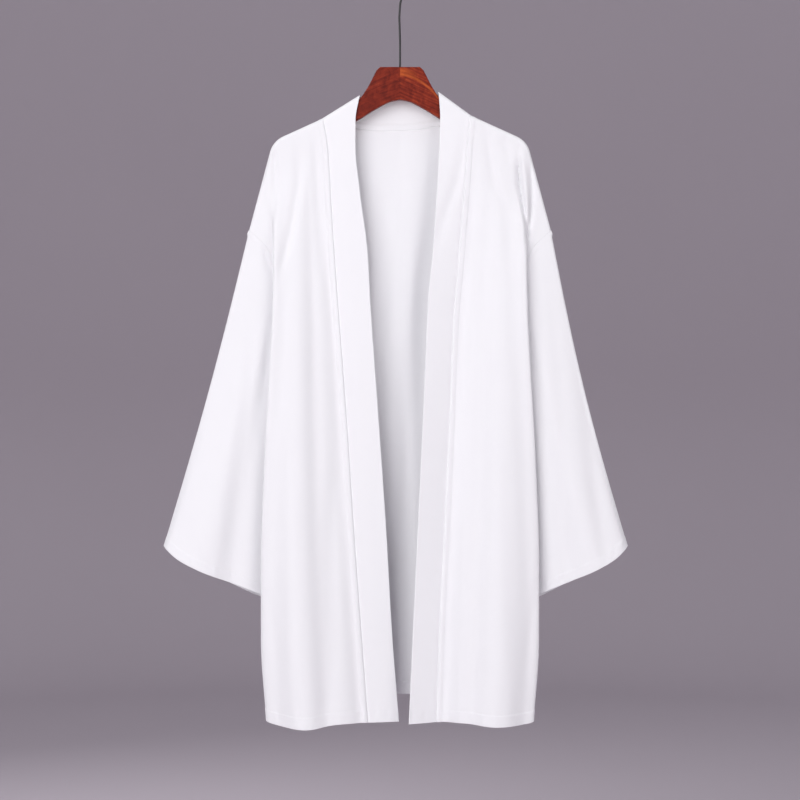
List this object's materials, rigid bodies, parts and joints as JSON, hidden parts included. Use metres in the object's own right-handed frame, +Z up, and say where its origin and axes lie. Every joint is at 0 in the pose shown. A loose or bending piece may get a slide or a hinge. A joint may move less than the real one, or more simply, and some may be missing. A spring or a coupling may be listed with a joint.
{
  "type": "hanfu jacket on a hanger",
  "caption": "Open-front hanfu jacket of thin white cloth with a straight collar band and wide sleeves, hanging on a wooden hanger with a wire hook.",
  "frame": {"origin": "inside of the hook's crown, where a rail carries it", "axes": "+Z up, the front of the garment faces -Y, the wearer's left is at +X"},
  "size_m": [0.7024, 0.1005, 1.1452],
  "materials": {
    "cloth": "thin smooth white crepe with a soft sheen",
    "band_cloth": "the same white crepe, doubled",
    "lacquered_wood": "red-brown wood under clear lacquer",
    "black_wire": "black painted wire"
  },
  "bodies": {
    "root": {"right_front": "cloth", "left_front": "cloth", "back": "cloth", "right_sleeve": "cloth", "left_sleeve": "cloth", "right_band": "band_cloth", "neck_band": "band_cloth", "left_band": "band_cloth", "hanger": "lacquered_wood", "hook": "black_wire"}
  },
  "joints": []
}
